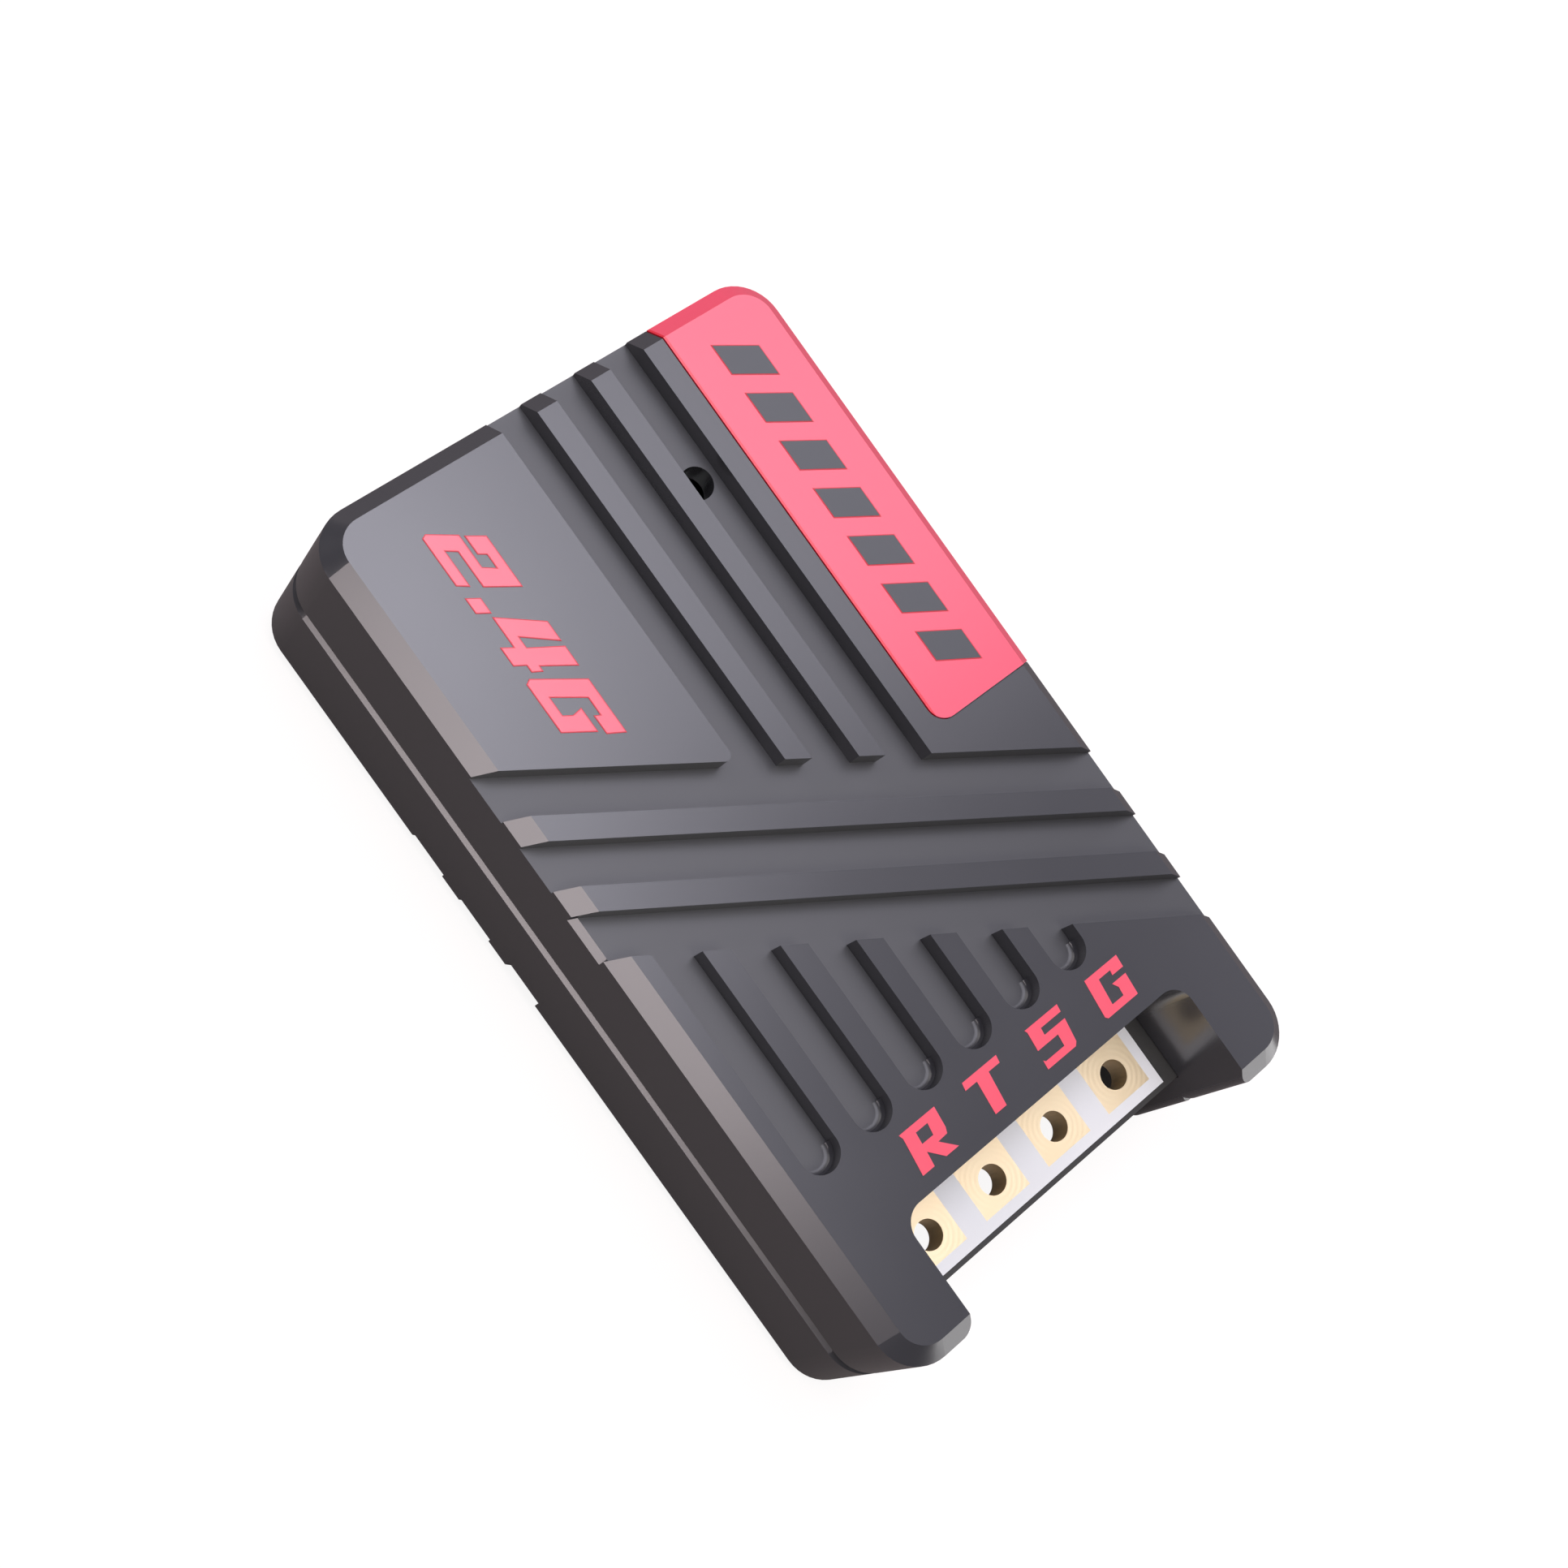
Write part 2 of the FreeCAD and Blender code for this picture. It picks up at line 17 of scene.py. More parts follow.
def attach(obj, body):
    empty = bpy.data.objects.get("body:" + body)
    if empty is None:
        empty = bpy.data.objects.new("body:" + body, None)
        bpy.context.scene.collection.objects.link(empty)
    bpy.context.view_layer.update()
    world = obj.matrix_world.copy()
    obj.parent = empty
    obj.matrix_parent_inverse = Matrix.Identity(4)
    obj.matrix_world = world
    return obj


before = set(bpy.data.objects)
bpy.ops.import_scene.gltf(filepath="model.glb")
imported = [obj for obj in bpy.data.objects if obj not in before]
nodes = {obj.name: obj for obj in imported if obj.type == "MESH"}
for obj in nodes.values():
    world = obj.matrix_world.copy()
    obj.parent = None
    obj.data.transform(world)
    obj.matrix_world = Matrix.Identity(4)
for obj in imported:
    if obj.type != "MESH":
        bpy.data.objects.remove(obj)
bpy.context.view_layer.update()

MM = 0.001
print("CAD solids:", len(nodes))

# %% [markdown]
# ## Colours
# Colours are easiest to read as the hex values of a picture editor. Those are sRGB
# numbers, bent to suit the eye, while a renderer adds up light in straight, linear
# numbers. One function does the turn, and every colour below goes through it.

# %% Hex colours to linear ones
def linear(hex_colour):
    channels = []
    for start in (0, 2, 4):
        value = int(hex_colour[start:start + 2], 16) / 255
        if value <= 0.04045:
            channels.append(value / 12.92)
        else:
            channels.append(((value + 0.055) / 1.055) ** 2.4)
    return (*channels, 1.0)


print("Mid grey in linear light:", round(linear("808080")[0], 3))

# %% [markdown]
# ## One helper for shader nodes
# A material is a small graph. This helper adds one node, sets its properties and
# sockets, and links its inputs, so a finish reads as a short list of steps. A socket
# that shares its name with others is given by its number.

# %% Add a node with its settings and links
def add(tree, kind, settings=None, links=None):
    node = tree.nodes.new(kind)
    for name, value in (settings or {}).items():
        if isinstance(name, str) and hasattr(node, name):
            setattr(node, name, value)
        else:
            node.inputs[name].default_value = value
    for name, socket in (links or {}).items():
        tree.links.new(socket, node.inputs[name])
    return node


# %% [markdown]
# ## A base for every finish
# A moulded, plated or fired surface is never one flat colour. Under a lens it has a
# grain, and its colour and gloss drift a little over a few millimetres. The base
# takes the size of both in millimetres. Object coordinates are in metres, so one
# grain of g millimetres is a noise of scale 1000 / g. The drift mixes two near
# colours, the same drift moves the roughness, and the grain goes into a bump. A noise
# runs from 0 to 1 but seldom leaves the range between its usual low and high.

# %% Build a finish from its real numbers
NOISE_LOW = 0.1
NOISE_HIGH = 0.9


def finish(name, colour, drift_colour, roughness, drift_mm, grain_mm, grain_height_mm,
           roughness_drift=0.02, **sockets):
    material = bpy.data.materials.new(name)
    material.use_nodes = True
    tree = material.node_tree
    shader = tree.nodes["Principled BSDF"]
    place = add(tree, "ShaderNodeTexCoord").outputs["Object"]
    drift = add(tree, "ShaderNodeTexNoise",
                {"Scale": 1000 / drift_mm, "Detail": 3.0}, {"Vector": place})
    tint = add(tree, "ShaderNodeMix",
               {"data_type": "RGBA", 6: linear(colour), 7: linear(drift_colour)},
               {0: drift.outputs["Fac"]})
    gloss = add(tree, "ShaderNodeMapRange",
                {"From Min": NOISE_LOW, "From Max": NOISE_HIGH,
                 "To Min": roughness - roughness_drift,
                 "To Max": roughness + roughness_drift},
                {"Value": drift.outputs["Fac"]})
    grain = add(tree, "ShaderNodeTexNoise",
                {"Scale": 1000 / grain_mm, "Detail": 2.0}, {"Vector": place})
    bump = add(tree, "ShaderNodeBump",
               {"Distance": grain_height_mm * MM, "Strength": 1.0},
               {"Height": grain.outputs["Fac"]})
    tree.links.new(tint.outputs[2], shader.inputs["Base Color"])
    tree.links.new(gloss.outputs["Result"], shader.inputs["Roughness"])
    tree.links.new(bump.outputs["Normal"], shader.inputs["Normal"])
    for socket, value in sockets.items():
        shader.inputs[socket.replace("_", " ")].default_value = value
    return material


# %% [markdown]
# ## The case: moulded ABS, anthracite
# The shells are injection moulded ABS. The mould was lightly spark eroded, which
# leaves a grain of a few hundredths of a millimetre, drawn here about three times as
# coarse so that it shows. The eye gets a dark neutral grey with a soft, wide shine.
# ABS has an IOR of about 1.54. The coral plate is the same plastic, so the numbers are
# written once for both.

# %% Anthracite ABS
MOULDED_ABS = {"roughness": 0.22, "drift_mm": 5.0, "grain_mm": 0.11,
               "grain_height_mm": 0.0004, "IOR": 1.54, "Specular_IOR_Level": 0.88}
case_abs = finish("moulded ABS anthracite", "3E3E43", "414146", **MOULDED_ABS)
print("Case grain:", MOULDED_ABS["grain_mm"], "mm")

# %% [markdown]
# ### Where the case ends upwards
# The next step and the prints need to know how high the case is. The solid itself
# tells it: the top of its box, read in millimetres.

# %% Top of a solid
def top_mm(name):
    return round(max(corner[2] for corner in nodes[name].bound_box) / MM, 3)


CASE_TOP_MM = top_mm("upper_shell")
print("The case is", CASE_TOP_MM, "mm high")

# %% [markdown]
# ### Duller floors, with painted shade
# The spark bites deeper at the bottom of a groove than on the raised faces, so a floor
# is rougher, which spreads its shine thin. Its colour is also painted a shade darker
# than a rib: painted shade, standing in for the shade that falls into a groove, so that
# the eye reads how deep the pattern is. Two tests find a floor, on the upper and the
# lower shell alike. It lies less than 2.9 mm from the middle height, where a raised face
# lies 3.48 mm away. And it is level, or nearly so: its normal points up or down, unlike
# that of a side wall or a chamfer. The upright part of a normal is 1 on a level face and
# 0 on a wall.

# %% Painted shade and duller plastic on the groove floors
MIDDLE_MM = CASE_TOP_MM / 2
FLOOR_REACH_MM = 2.84
RAISED_REACH_MM = 2.97
LEVEL_FROM = 0.72
LEVEL_FULL = 0.80
ROUGHER_BY = 0.20
PAINTED_FLOOR_SHADE = "E6E6E6"
tree = case_abs.node_tree
shader = tree.nodes["Principled BSDF"]
coordinates = add(tree, "ShaderNodeTexCoord")
height = add(tree, "ShaderNodeSeparateXYZ", None, {0: coordinates.outputs["Object"]})
from_middle = add(tree, "ShaderNodeMath", {"operation": "SUBTRACT", 1: MIDDLE_MM * MM},
                  {0: height.outputs["Z"]})
reach = add(tree, "ShaderNodeMath", {"operation": "ABSOLUTE"}, {0: from_middle.outputs[0]})
deep = add(tree, "ShaderNodeMapRange",
           {"From Min": RAISED_REACH_MM * MM, "From Max": FLOOR_REACH_MM * MM},
           {"Value": reach.outputs[0]})
slope = add(tree, "ShaderNodeSeparateXYZ", None, {0: coordinates.outputs["Normal"]})
upright = add(tree, "ShaderNodeMath", {"operation": "ABSOLUTE"}, {0: slope.outputs["Z"]})
level = add(tree, "ShaderNodeMapRange", {"From Min": LEVEL_FROM, "From Max": LEVEL_FULL},
            {"Value": upright.outputs[0]})
# This one mask sets both the rougher floor and the painted shade on it.
rough_and_shaded = add(tree, "ShaderNodeMath", {"operation": "MULTIPLY"},
           {0: deep.outputs["Result"], 1: level.outputs["Result"]}).outputs[0]
rougher = add(tree, "ShaderNodeMath", {"operation": "MULTIPLY_ADD", 1: ROUGHER_BY},
              {0: rough_and_shaded, 2: shader.inputs["Roughness"].links[0].from_socket})
tree.links.new(rougher.outputs[0], shader.inputs["Roughness"])
rib_tint = shader.inputs["Base Color"].links[0].from_socket
# Painted shade: the floor takes the rib's colour multiplied by a light grey, standing in for the
# shade in a groove.
shaded_floor_tint = add(tree, "ShaderNodeMix",
                 {"data_type": "RGBA", "blend_type": "MULTIPLY", 0: 1.0, 7: linear(PAINTED_FLOOR_SHADE)},
                 {6: rib_tint})
both = add(tree, "ShaderNodeMix", {"data_type": "RGBA"},
           {0: rough_and_shaded, 6: rib_tint, 7: shaded_floor_tint.outputs[2]})
tree.links.new(both.outputs[2], shader.inputs["Base Color"])
print("A groove floor is duller below", round(MIDDLE_MM + RAISED_REACH_MM, 2), "mm")

# %% [markdown]
# ## The plate and the marks: coral ABS and coral ink
# The plate at the back right corner is the same plastic in a strong coral red, moulded
# in a second shot. The marks are pad printed in an ink mixed to match, so one colour
# serves both. The print lacks the mould's grain: its own is finer and flatter.

# %% Coral ABS, printed ink
PRINTED_INK = {"drift_mm": 2.0, "grain_mm": 0.06, "grain_height_mm": 0.0003}
coral_abs = finish("moulded ABS coral", "FF5470", "FF5874", **MOULDED_ABS)
coral_ink = finish("pad printed ink coral", "FF5A70", "FC5F75", roughness=0.24,
                   IOR=1.54, Specular_IOR_Level=0.75, **PRINTED_INK)
ink_edge = finish("pad printed ink dark coral", "D8303F", "CF2B3A", roughness=0.35,
                  IOR=1.50, **PRINTED_INK)
bar_ink = finish("pad printed ink grey", "505156", "535459", roughness=0.27,
                 roughness_drift=0.004, IOR=1.50, **PRINTED_INK)
print("Inks mixed, with a grain of", PRINTED_INK["grain_mm"], "mm")

# %% [markdown]
# ### The plate's left edge, with painted shade
# Where the coral plate meets the dark strip, a fine line of deeper red runs along it.
# That line is painted shade on the top, standing in for the plate's shaded side face. The
# place across the case finds it: the plate's first tenth of a millimetre. The red is
# full over seven tenths of that width and then fades out.

# %% A painted line of deeper red shade
SHADED_EDGE_MM = 0.09
FULL_SHARE = 0.7
plate_left = min(corner[0] for corner in nodes["accent_plate"].bound_box)
tree = coral_abs.node_tree
shader = tree.nodes["Principled BSDF"]
across = add(tree, "ShaderNodeSeparateXYZ", None,
             {0: add(tree, "ShaderNodeTexCoord").outputs["Object"]})
# Painted shade: a line of deeper red along the plate's left edge, for its shaded side face.
painted_edge_shade = add(tree, "ShaderNodeMapRange",
                {"From Min": plate_left + SHADED_EDGE_MM * MM,
                 "From Max": plate_left + SHADED_EDGE_MM * MM * FULL_SHARE},
                {"Value": across.outputs["X"]})
edge_shaded_colour = add(tree, "ShaderNodeMix", {"data_type": "RGBA", 7: linear("F0253C")},
            {0: painted_edge_shade.outputs["Result"], 6: shader.inputs["Base Color"].links[0].from_socket})
tree.links.new(edge_shaded_colour.outputs[2], shader.inputs["Base Color"])
print("The plate starts", round(plate_left * 1000, 2), "mm right of the middle")

# %% [markdown]
# ## The board and its coating
# The board is glass cloth in epoxy, cut with a router, so its edge is dark and a
# little coarse. Over the top lies a white solder resist, screened on and baked: it
# is smooth, a little glossy, and flows into tiny waves.

# %% Laminate and white resist
laminate = finish("glass epoxy laminate", "2B2A2C", "3A3835", roughness=0.55,
                  drift_mm=0.9, grain_mm=0.15, grain_height_mm=0.004, IOR=1.55)
resist = finish("white solder resist", "FBFBFB", "F5F5F7", roughness=0.32,
                drift_mm=2.5, grain_mm=0.30, grain_height_mm=0.0015, IOR=1.52)
print("Board finishes:", laminate.name, "and", resist.name)

# %% [markdown]
# ## Gold pads
# The pads are copper plated with nickel and a flash of gold. A drill and a deburring
# tool turned over each hole, and left faint rings round it, which catch the light as
# arcs. The pads sit 2.54 mm apart, so the place is wrapped on that pitch, and one
# graph draws the rings round all four holes. Real tool marks are a hundredth of a
# millimetre apart: here they are sixteen times as coarse, so that they show. A wave
# of scale 1 turns 20 radians over a metre, so tau / 20 over the spacing is its scale.

# %% Gold-plated copper with turned rings
PAD_PITCH_MM = 2.54
PAD_HOLE_Y_MM = -11.24
RING_MM = 0.16
RING_HEIGHT_MM = 0.0009
gold = finish("gold-plated copper", "FFE6BC", "FFEFCC", roughness=0.48,
              drift_mm=1.5, grain_mm=0.10, grain_height_mm=0.0008, Metallic=1.0)
tree = gold.node_tree
place = add(tree, "ShaderNodeTexCoord").outputs["Object"]
half = PAD_PITCH_MM / 2 * MM
centred = add(tree, "ShaderNodeVectorMath",
              {"operation": "SUBTRACT", 1: (half, PAD_HOLE_Y_MM * MM, 0.0)}, {0: place})
wrapped = add(tree, "ShaderNodeVectorMath",
              {"operation": "WRAP", 1: (half, 1.0, 1.0), 2: (-half, -1.0, -1.0)},
              {0: centred.outputs["Vector"]})
rings = add(tree, "ShaderNodeTexWave",
            {"wave_type": "RINGS", "rings_direction": "Z",
             "Scale": math.tau / 20 / (RING_MM * MM), "Distortion": 1.2, "Detail": 2.0},
            {"Vector": wrapped.outputs["Vector"]})
old_bump = next(n for n in tree.nodes if n.type == "BUMP")
ring_bump = add(tree, "ShaderNodeBump", {"Distance": RING_HEIGHT_MM * MM, "Strength": 1.0},
                {"Height": rings.outputs["Fac"], "Normal": old_bump.outputs["Normal"]})
tree.links.new(ring_bump.outputs["Normal"], tree.nodes["Principled BSDF"].inputs["Normal"])
print("Rings every", RING_MM, "mm")

# %% [markdown]
# ## The small parts on the board
# They are hidden in the closed case, yet each keeps its own finish: moulded epoxy,
# pressed steel, tin, fired ceramic, ferrite and a milky lens. Each number starts from
# what a data book gives for the stuff.

# %% Finishes of the components
chip_epoxy = finish("moulded black epoxy", "1C1C1E", "242426", roughness=0.50,
                    drift_mm=1.0, grain_mm=0.06, grain_height_mm=0.0012, IOR=1.55)
can_steel = finish("nickel-plated steel can", "C8C8C6", "B9B9B7", roughness=0.28,
                   drift_mm=1.0, grain_mm=0.12, grain_height_mm=0.0008, Metallic=1.0)
tin = finish("tinned copper lead", "CFCFD0", "BDBDC0", roughness=0.30,
             drift_mm=0.4, grain_mm=0.05, grain_height_mm=0.0010, Metallic=1.0)
tantalum = finish("yellow capacitor resin", "C98A2B", "BE7F25", roughness=0.42,
                  drift_mm=1.0, grain_mm=0.08, grain_height_mm=0.0010, IOR=1.52)
lens = finish("milky diode lens", "E9EBE4", "DDE2D6", roughness=0.22,
              drift_mm=0.6, grain_mm=0.10, grain_height_mm=0.0005, IOR=1.49)
antenna = finish("fired antenna ceramic", "D9DDE0", "C9CED3", roughness=0.35,
                 drift_mm=0.8, grain_mm=0.08, grain_height_mm=0.0008, IOR=1.62)
capacitor = finish("tan capacitor ceramic", "A98762", "B5926C", roughness=0.38,
                   drift_mm=0.4, grain_mm=0.06, grain_height_mm=0.0008, IOR=1.62)
resistor = finish("black resistor glaze", "17171A", "222225", roughness=0.25,
                  drift_mm=0.4, grain_mm=0.08, grain_height_mm=0.0005, IOR=1.52)
ferrite = finish("ground choke ferrite", "3C3D40", "48494C", roughness=0.45,
                 drift_mm=0.5, grain_mm=0.07, grain_height_mm=0.0012, IOR=1.60)
print("Component finishes end with", ferrite.name)

# %% [markdown]
# ## Which finish goes where
# Each solid comes in with a plain material, named for its slot. The table pairs each
# slot with the finish built above, and each solid takes the finish of its slot.

# %% Give every solid its finish
FINISH_OF_SLOT = {
    "case_plastic": case_abs, "accent_plastic": coral_abs, "board_laminate": laminate,
    "white_coating": resist, "plated_gold": gold, "chip_epoxy": chip_epoxy,
    "metal_can": can_steel, "tinned_lead": tin, "capacitor_resin": tantalum,
    "light_lens": lens, "antenna_ceramic": antenna, "capacitor_ceramic": capacitor,
    "resistor_black": resistor, "choke_ferrite": ferrite,
}
for solid in nodes.values():
    solid.data.materials[0] = FINISH_OF_SLOT[solid.data.materials[0].name]
print("Finishes given:", len(FINISH_OF_SLOT))

# %% [markdown]
# ## Printed marks
# The case tells the radio band, 2.4 G, and the pads' use: receive, transmit, 5 volts
# and ground. They are plain slanted block figures. A print could be a texture, yet a
# thin solid keeps a crisp edge at any distance and lives on in the exported mesh. A
# two-dimensional curve fills itself and leaves holes open, such as the eye of the R,
# and its extrusion gives the ink a body of two hundredths of a millimetre, so that it
# stands clear of the face. A rim is the same outline, grown a little and laid thinner.

# %% Ink from outlines
INK_THICK_MM = 0.020
MERGE_MM = 0.0005


def ink(name, outlines, origin, along, up, surface_mm, thick_mm, grow_mm, material):
    curve = bpy.data.curves.new(name, "CURVE")
    curve.dimensions = "2D"
    curve.fill_mode = "BOTH"
    curve.extrude = thick_mm / 2 * MM
    curve.offset = grow_mm * MM
    for outline in outlines:
        spline = curve.splines.new("POLY")
        spline.points.add(len(outline) - 1)
        spline.use_cyclic_u = True
        for point, (u, v) in zip(spline.points, outline):
            point.co = (u * MM, v * MM, 0.0, 1.0)
    maker = bpy.data.objects.new(name, curve)
    bpy.context.collection.objects.link(maker)
    bpy.context.view_layer.update()
    filled = maker.evaluated_get(bpy.context.evaluated_depsgraph_get())
    mesh = bpy.data.meshes.new_from_object(filled)
    bpy.data.objects.remove(maker)
    across = Vector(along)
    rise = Vector(up)
    face = across.cross(rise)
    height = (surface_mm + thick_mm / 2) * MM
    matrix = Matrix(((across.x, rise.x, face.x, origin[0] * MM),
                     (across.y, rise.y, face.y, origin[1] * MM),
                     (across.z, rise.z, face.z, height),
                     (0.0, 0.0, 0.0, 1.0)))
    mesh.transform(matrix)
    build = bmesh.new()
    build.from_mesh(mesh)
    bmesh.ops.remove_doubles(build, verts=build.verts, dist=MERGE_MM * MM)
    bmesh.ops.recalc_face_normals(build, faces=build.faces)
    build.to_mesh(mesh)
    build.free()
    mesh.materials.clear()
    mesh.materials.append(material)
    piece = bpy.data.objects.new(name, mesh)
    bpy.context.collection.objects.link(piece)
    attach(piece, "root")
    print(name, len(mesh.polygons), "faces")


# %% [markdown]
# ### The band mark
# It reads along the case's side, so its writing runs towards the front and its
# figures stand up to the right. Each outline is in millimetres: first along the
# writing, then up from the base line. The print has a fine rim of darker coral round
# each figure.

# %% 2.4 G
TWO = [(0.05, 0.00), (1.52, 0.00), (1.69, 0.27), (0.57, 0.27), (0.79, 0.61), (1.91, 0.61),
       (2.41, 1.49), (0.84, 1.49), (0.57, 1.02), (1.11, 1.02), (1.24, 1.24), (1.73, 1.24),
       (1.48, 0.86), (0.45, 0.86), (0.00, 0.11)]
POINT = [(1.96, 0.00), (2.39, 0.00), (2.57, 0.32), (2.14, 0.32)]
FOUR = [(2.75, 0.32), (3.57, 1.49), (4.14, 1.49), (3.46, 0.56), (3.86, 0.56), (4.36, 1.49),
        (4.93, 1.49), (4.39, 0.56), (4.56, 0.56), (4.44, 0.32), (4.22, 0.32), (4.05, 0.00),
        (3.52, 0.00), (3.70, 0.32)]
GIGA = [(4.66, 0.00), (6.16, 0.00), (6.64, 0.83), (5.95, 0.83), (5.99, 0.54), (5.84, 0.27),
        (5.21, 0.27), (5.79, 1.21), (6.39, 1.21), (6.31, 1.04), (6.84, 1.04), (7.07, 1.49),
        (5.41, 1.49), (4.59, 0.13)]
RIM_THICK_MM = 0.012
RIM_GROWN_MM = 0.028
TO_FRONT = (0, -1, 0)
TO_RIGHT = (1, 0, 0)
BAND_ORIGIN_MM = (-5.357, 11.607)
band_figures = [TWO, POINT, FOUR, GIGA]
ink("band_mark_rim", band_figures, BAND_ORIGIN_MM, TO_FRONT, TO_RIGHT, CASE_TOP_MM,
    RIM_THICK_MM, RIM_GROWN_MM, ink_edge)
ink("band_mark", band_figures, BAND_ORIGIN_MM, TO_FRONT, TO_RIGHT, CASE_TOP_MM,
    INK_THICK_MM, 0.0, coral_ink)

# %% [markdown]
# ### The pad letters
# The four letters stand over their pads, across the case. They are smaller than the
# band mark, and each starts at its own place along the row.

# %% R, T, 5, G
LETTER_R = [(0.10, 1.21), (1.42, 1.21), (1.35, 0.60), (1.28, 0.45), (0.93, 0.43), (1.35, 0.00),
            (0.88, 0.00), (0.49, 0.42), (0.43, 0.00), (0.00, 0.00), (0.15, 1.07)]
EYE_OF_R = [(0.55, 0.99), (0.99, 0.99), (0.93, 0.65), (0.51, 0.65)]
LETTER_T = [(0.05, 1.21), (1.36, 1.21), (1.32, 0.99), (0.89, 0.99), (0.75, 0.00), (0.33, 0.00),
            (0.44, 0.99), (0.00, 0.99)]
FIGURE_5 = [(0.09, 1.21), (1.38, 1.21), (1.35, 0.99), (0.55, 0.99), (0.52, 0.78), (1.33, 0.78),
            (1.21, 0.10), (1.11, 0.00), (0.00, 0.00), (0.03, 0.27), (0.09, 0.21), (0.83, 0.21),
            (0.87, 0.56), (0.07, 0.56), (0.13, 1.12)]
LETTER_G = [(0.13, 1.21), (1.44, 1.21), (1.41, 0.84), (0.97, 0.84), (1.00, 0.99), (0.53, 0.99),
            (0.43, 0.22), (0.89, 0.22), (0.92, 0.48), (0.80, 0.66), (1.35, 0.66), (1.29, 0.00),
            (0.07, 0.00), (0.00, 0.08)]
TO_BACK = (0, 1, 0)
LETTER_BASE_Y_MM = -9.367
pad_letters = {"pad_letter_receive": (-4.333, [LETTER_R, EYE_OF_R]),
               "pad_letter_transmit": (-1.887, [LETTER_T]),
               "pad_letter_supply": (0.520, [FIGURE_5]),
               "pad_letter_ground": (2.900, [LETTER_G])}
for name, (start_x_mm, outlines) in pad_letters.items():
    ink(name, outlines, (start_x_mm, LETTER_BASE_Y_MM), TO_RIGHT, TO_BACK, CASE_TOP_MM,
        INK_THICK_MM, 0.0, coral_ink)

# %% [markdown]
# ### Grey bars on the plate
# The plate stands a hair proud of the case, so its own top is read from the model. It
# carries a row of plain slanted bars, printed in grey. They say nothing: they only
# break up the long coral field, as a maker of plain goods would do it.

# %% A row of slanted bars
PLATE_TOP_MM = top_mm("accent_plate")
BAR_ORIGIN_MM = (5.14, 12.00)
BAR_COUNT = 7
BAR_STEP_MM = 1.62
BAR_WIDTH_MM = 0.95
BAR_HEIGHT_MM = 1.24
BAR_SLANT_MM = 0.66
bars = []
for number in range(BAR_COUNT):
    start = number * BAR_STEP_MM
    end = start + BAR_WIDTH_MM
    bars.append([(start, 0.0), (end, 0.0),
                 (end + BAR_SLANT_MM, BAR_HEIGHT_MM), (start + BAR_SLANT_MM, BAR_HEIGHT_MM)])
ink("plate_bars_rim", bars, BAR_ORIGIN_MM, TO_FRONT, TO_RIGHT, PLATE_TOP_MM,
    RIM_THICK_MM, RIM_GROWN_MM, ink_edge)
ink("plate_bars", bars, BAR_ORIGIN_MM, TO_FRONT, TO_RIGHT, PLATE_TOP_MM,
    INK_THICK_MM, 0.0, bar_ink)

# %% [markdown]
# ## A white surround that only the camera sees in full
# The photograph's background is pure white, yet its dark plastic mirrors no white
# walls. The floor and the world tell the two apart by the kind of ray that asks. A
# camera ray sees white. A shine, or a look through glass, sees only a small share of
# it: in full, it would lay a grey veil over the whole case. The light that falls on
# the object stays plain.

# %% How bright a surround looks to each kind of ray
def seen_strength(tree, to_camera, to_shine, to_rest):
    rays = add(tree, "ShaderNodeLightPath")
    shine = add(tree, "ShaderNodeMath", {"operation": "MAXIMUM"},
                {0: rays.outputs["Is Glossy Ray"], 1: rays.outputs["Is Transmission Ray"]})
    camera_part = add(tree, "ShaderNodeMath",
                      {"operation": "MULTIPLY_ADD", 1: to_camera - to_rest, 2: to_rest},
                      {0: rays.outputs["Is Camera Ray"]})
    return add(tree, "ShaderNodeMath",
               {"operation": "MULTIPLY_ADD", 1: to_shine - to_rest},
               {0: shine.outputs[0], 2: camera_part.outputs[0]}).outputs[0]


# %% [markdown]
# ## Floor
# The receiver rests on its underside on a half metre of plain pale studio paper. Most
# of its white is shown to the camera only, and the lamps' own light on the paper makes
# up the rest: that part still carries the object's soft shadow. The sheet ends where
# the lamps' light begins to fail, so no grey horizon shows in a low view.

# %% Pale paper floor
FLOOR_SIZE = 0.5
bpy.ops.mesh.primitive_plane_add(size=FLOOR_SIZE, location=(0.0, 0.0, 0.0))
floor = bpy.context.object
floor.name = "floor"
paper = bpy.data.materials.new("pale studio paper")
paper.use_nodes = True
tree = paper.node_tree
shader = tree.nodes["Principled BSDF"]
shader.inputs["Base Color"].default_value = linear("756D6B")
shader.inputs["Roughness"].default_value = 0.9
shader.inputs["Specular IOR Level"].default_value = 0.0
shader.inputs["Emission Color"].default_value = linear("FFFFFF")
paper_glow = seen_strength(tree, to_camera=0.88, to_shine=0.03, to_rest=0.0)
tree.links.new(paper_glow, shader.inputs["Emission Strength"])
floor.data.materials.append(paper)
print("Floor laid,", FLOOR_SIZE, "m wide")

# %% [markdown]
# ## Light
# The photograph has the look of a product studio, with the lamps mostly behind. A
# wide soft lamp hangs almost overhead: the lid mirrors its edge, so a pale sheen lies
# on the back of the lid and dies towards the front. One at the back right carries the
# sheen across, and one at the back left casts the short dark shadows on the side of
# each rib that faces the camera. A low lamp on the left draws the long left chamfer,
# and a faint one behind the back chamfer. A high one in front reaches down into the
# notch, onto the white board and the pads. A faint one at the front right lifts the
# front right end of the lid out of the dark, and a low one on the right fills the
# coral plate's outer chamfer, which leans away from all the others.
#
# Each stands in a table: its direction round the object and above the floor and the
# angle it covers, all in degrees, its brightness, and its tint. What all give together
# to a level card is near one, the level at which a colour renders as it is written.

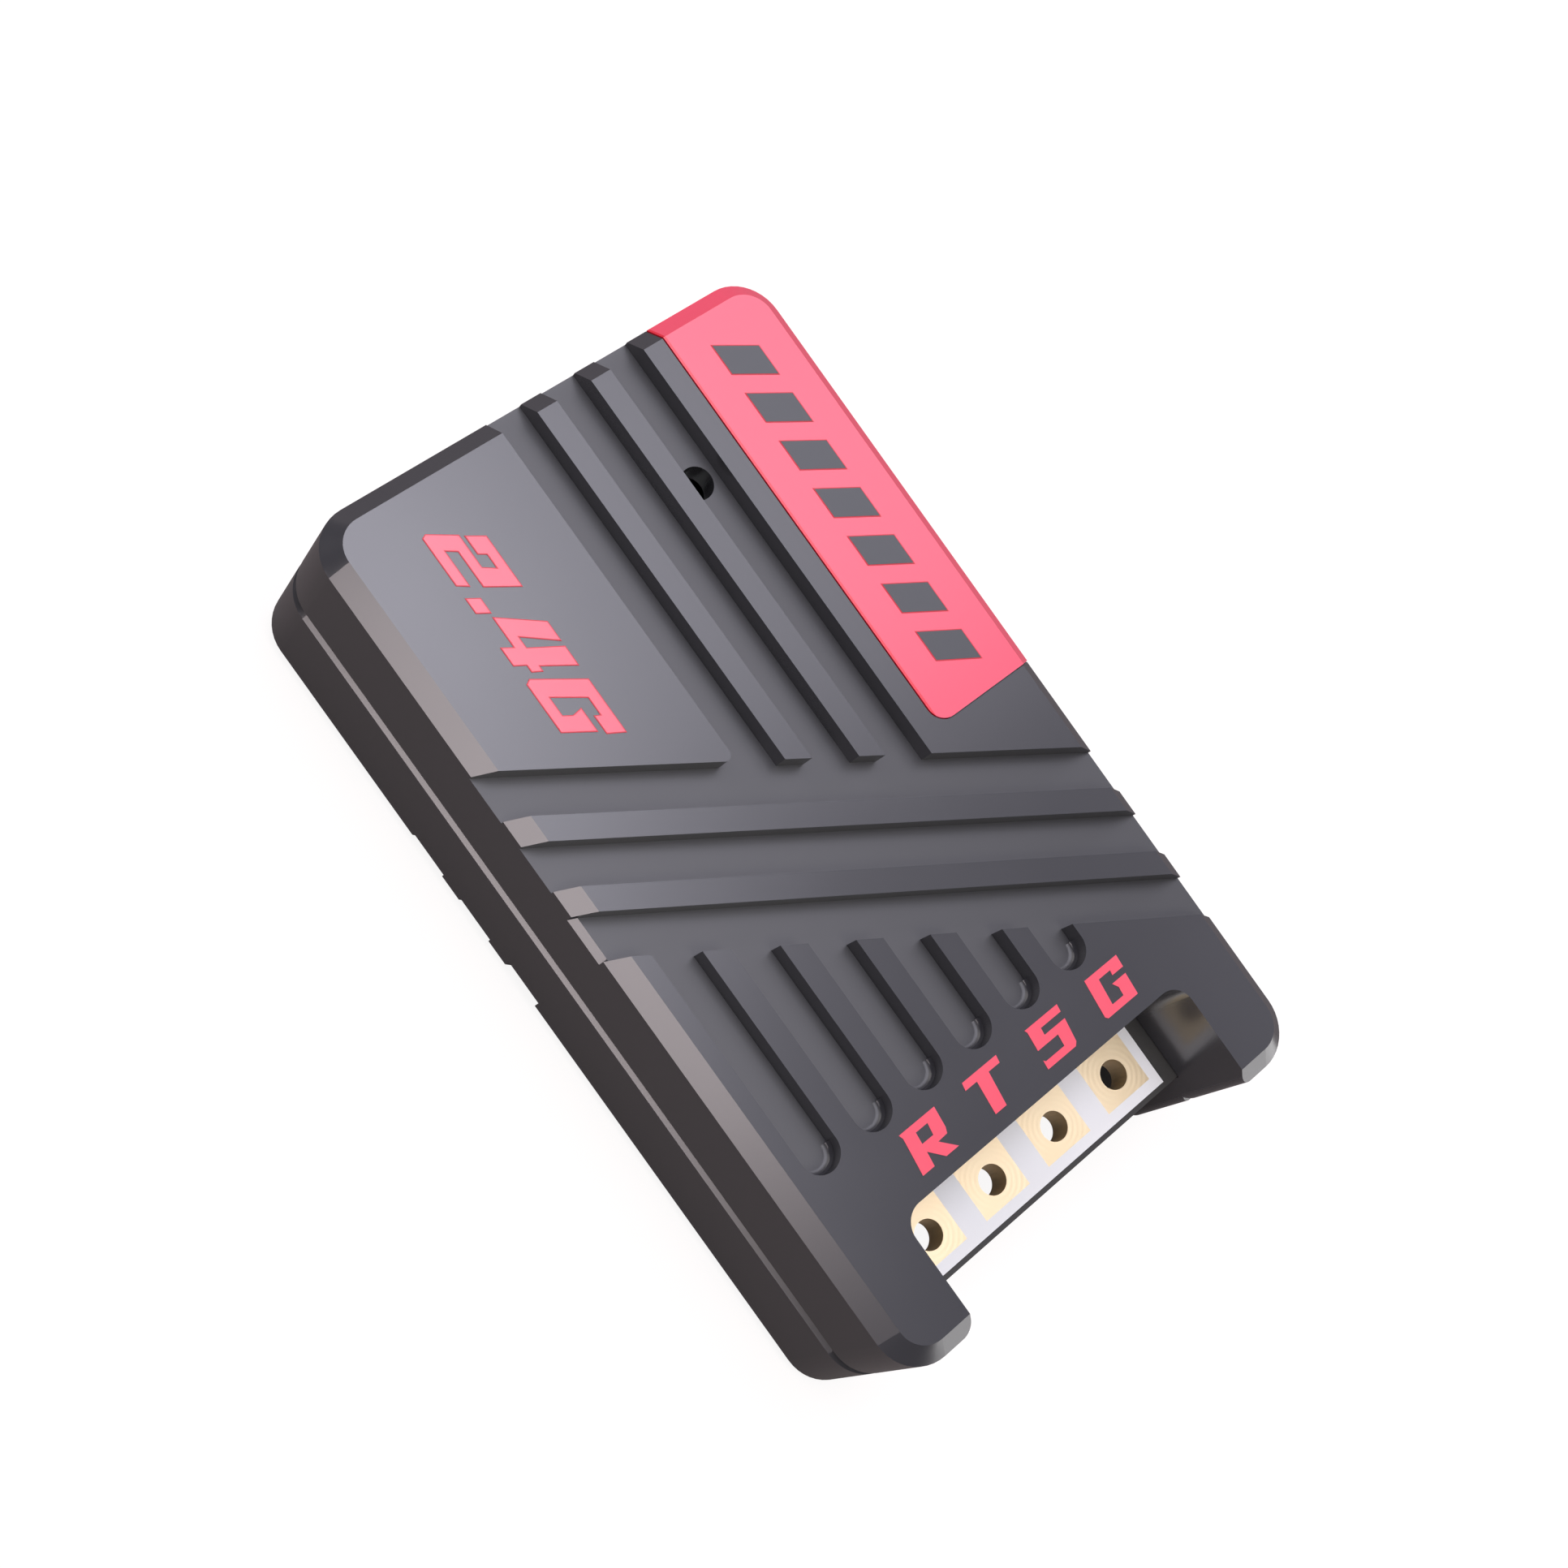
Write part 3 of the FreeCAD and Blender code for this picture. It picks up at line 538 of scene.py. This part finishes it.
# %% Soft lamps
LAMP_DISTANCE = 0.5
LAMPS = {
    "high_key_lamp": (75.0, 81.0, 44.0, 3.75, "F4F2FF"),
    "back_right_lamp": (20.0, 56.0, 25.0, 2.1, "F4F2FF"),
    "left_back_lamp": (112.0, 40.0, 44.0, 1.4, "FFF8F6"),
    "low_left_lamp": (178.0, 25.0, 22.0, 5.0, "FFF2F3"),
    "low_back_lamp": (62.0, 8.0, 44.0, 0.6, "FFF8F6"),
    "front_high_lamp": (264.0, 60.0, 20.0, 7.6, "FFFAEE"),
    "front_right_lamp": (341.0, 45.0, 20.0, 0.8, "F4F2FF"),
    "low_right_lamp": (8.0, 14.0, 30.0, 4.0, "F4F2FF"),
}


def soft_lamp(name, across, brightness, tint, spot, towards):
    lamp = bpy.data.lights.new(name, "AREA")
    lamp.shape = "DISK"
    lamp.size = across
    lamp.energy = brightness * math.pi ** 2 * across ** 2 / 4
    lamp.color = linear(tint)[:3]
    place = bpy.data.objects.new(name, lamp)
    bpy.context.collection.objects.link(place)
    place.location = spot
    place.rotation_euler = (-Vector(towards)).to_track_quat("Z", "Y").to_euler()
    return place


card_level = 0.0
for name, (round_it, above, spread, brightness, tint) in LAMPS.items():
    a, e, half_spread = (math.radians(angle) for angle in (round_it, above, spread / 2))
    direction = Vector((math.cos(e) * math.cos(a), math.cos(e) * math.sin(a), math.sin(e)))
    soft_lamp(name, 2 * LAMP_DISTANCE * math.tan(half_spread), brightness, tint,
              direction * LAMP_DISTANCE, -direction)
    card_level += brightness * math.sin(e) * math.sin(half_spread) ** 2
print("The lamps give a level card", round(card_level, 2))

# %% [markdown]
# ### A light card on the floor
# The two small chamfers at the front end lean over the floor, so they can mirror only
# what lies on it, and in the photograph they are bright. A product photographer lays a
# light card there. This one is a disk of 52 mm that shines upwards, in front of the
# notch, and is kept out of the camera's own view.

# %% The card
CARD_ACROSS = 0.0524
CARD_BRIGHTNESS = 1.9
CARD_SPOT = (0.012, -0.047, 0.0005)
UPWARDS = (0.0, 0.0, 1.0)
card = soft_lamp("front_card", CARD_ACROSS, CARD_BRIGHTNESS, "FFFFFF", CARD_SPOT, UPWARDS)
card.visible_camera = False
print("Card", round(CARD_ACROSS / MM), "mm across")

# %% [markdown]
# ### A weak world
# A little light from everywhere keeps the deepest shadows from going black.

# %% World
world = bpy.context.scene.world or bpy.data.worlds.new("studio")
bpy.context.scene.world = world
world.use_nodes = True
background = world.node_tree.nodes["Background"]
background.inputs["Color"].default_value = linear("FFFFFF")
world_glow = seen_strength(world.node_tree, to_camera=1.0, to_shine=0.06, to_rest=0.06)
world.node_tree.links.new(world_glow, background.inputs["Strength"])
print("World set")

# %% [markdown]
# ## Camera
# The photograph's camera looks down from the left, rolled so that the case lies
# slantwise. Its place and turn were found from the case's known corners in the
# photograph: three directions for the camera's right, up and back, and one point. The
# lens length goes with a sensor 36 mm wide.

# %% Camera at the photograph's place
lens_data = bpy.data.cameras.new("photo_camera")
lens_data.sensor_width = 36.0
lens_data.lens = 58.27
lens_data.clip_start = 0.001
lens_data.clip_end = 10.0
camera = bpy.data.objects.new("photo_camera", lens_data)
bpy.context.collection.objects.link(camera)
right = Vector((0.71895, -0.58126, 0.38112))
upward = Vector((0.51771, 0.81369, 0.26437))
back = Vector((-0.46378, 0.00724, 0.88592))
spot = Vector((-0.03225, 0.00150, 0.06672))
camera.matrix_world = Matrix(((right.x, upward.x, back.x, spot.x),
                              (right.y, upward.y, back.y, spot.y),
                              (right.z, upward.z, back.z, spot.z),
                              (0.0, 0.0, 0.0, 1.0)))
bpy.context.scene.camera = camera
bpy.context.scene.view_settings.view_transform = "Standard"
print("Camera is", round(spot.z / MM - CASE_TOP_MM, 1), "mm above the lid")

# %% [markdown]
# ## The end
# The dressed object has to stay as big as its construction model. The last line brings
# the scene up to date.

# %% Update the scene
bpy.context.view_layer.update()
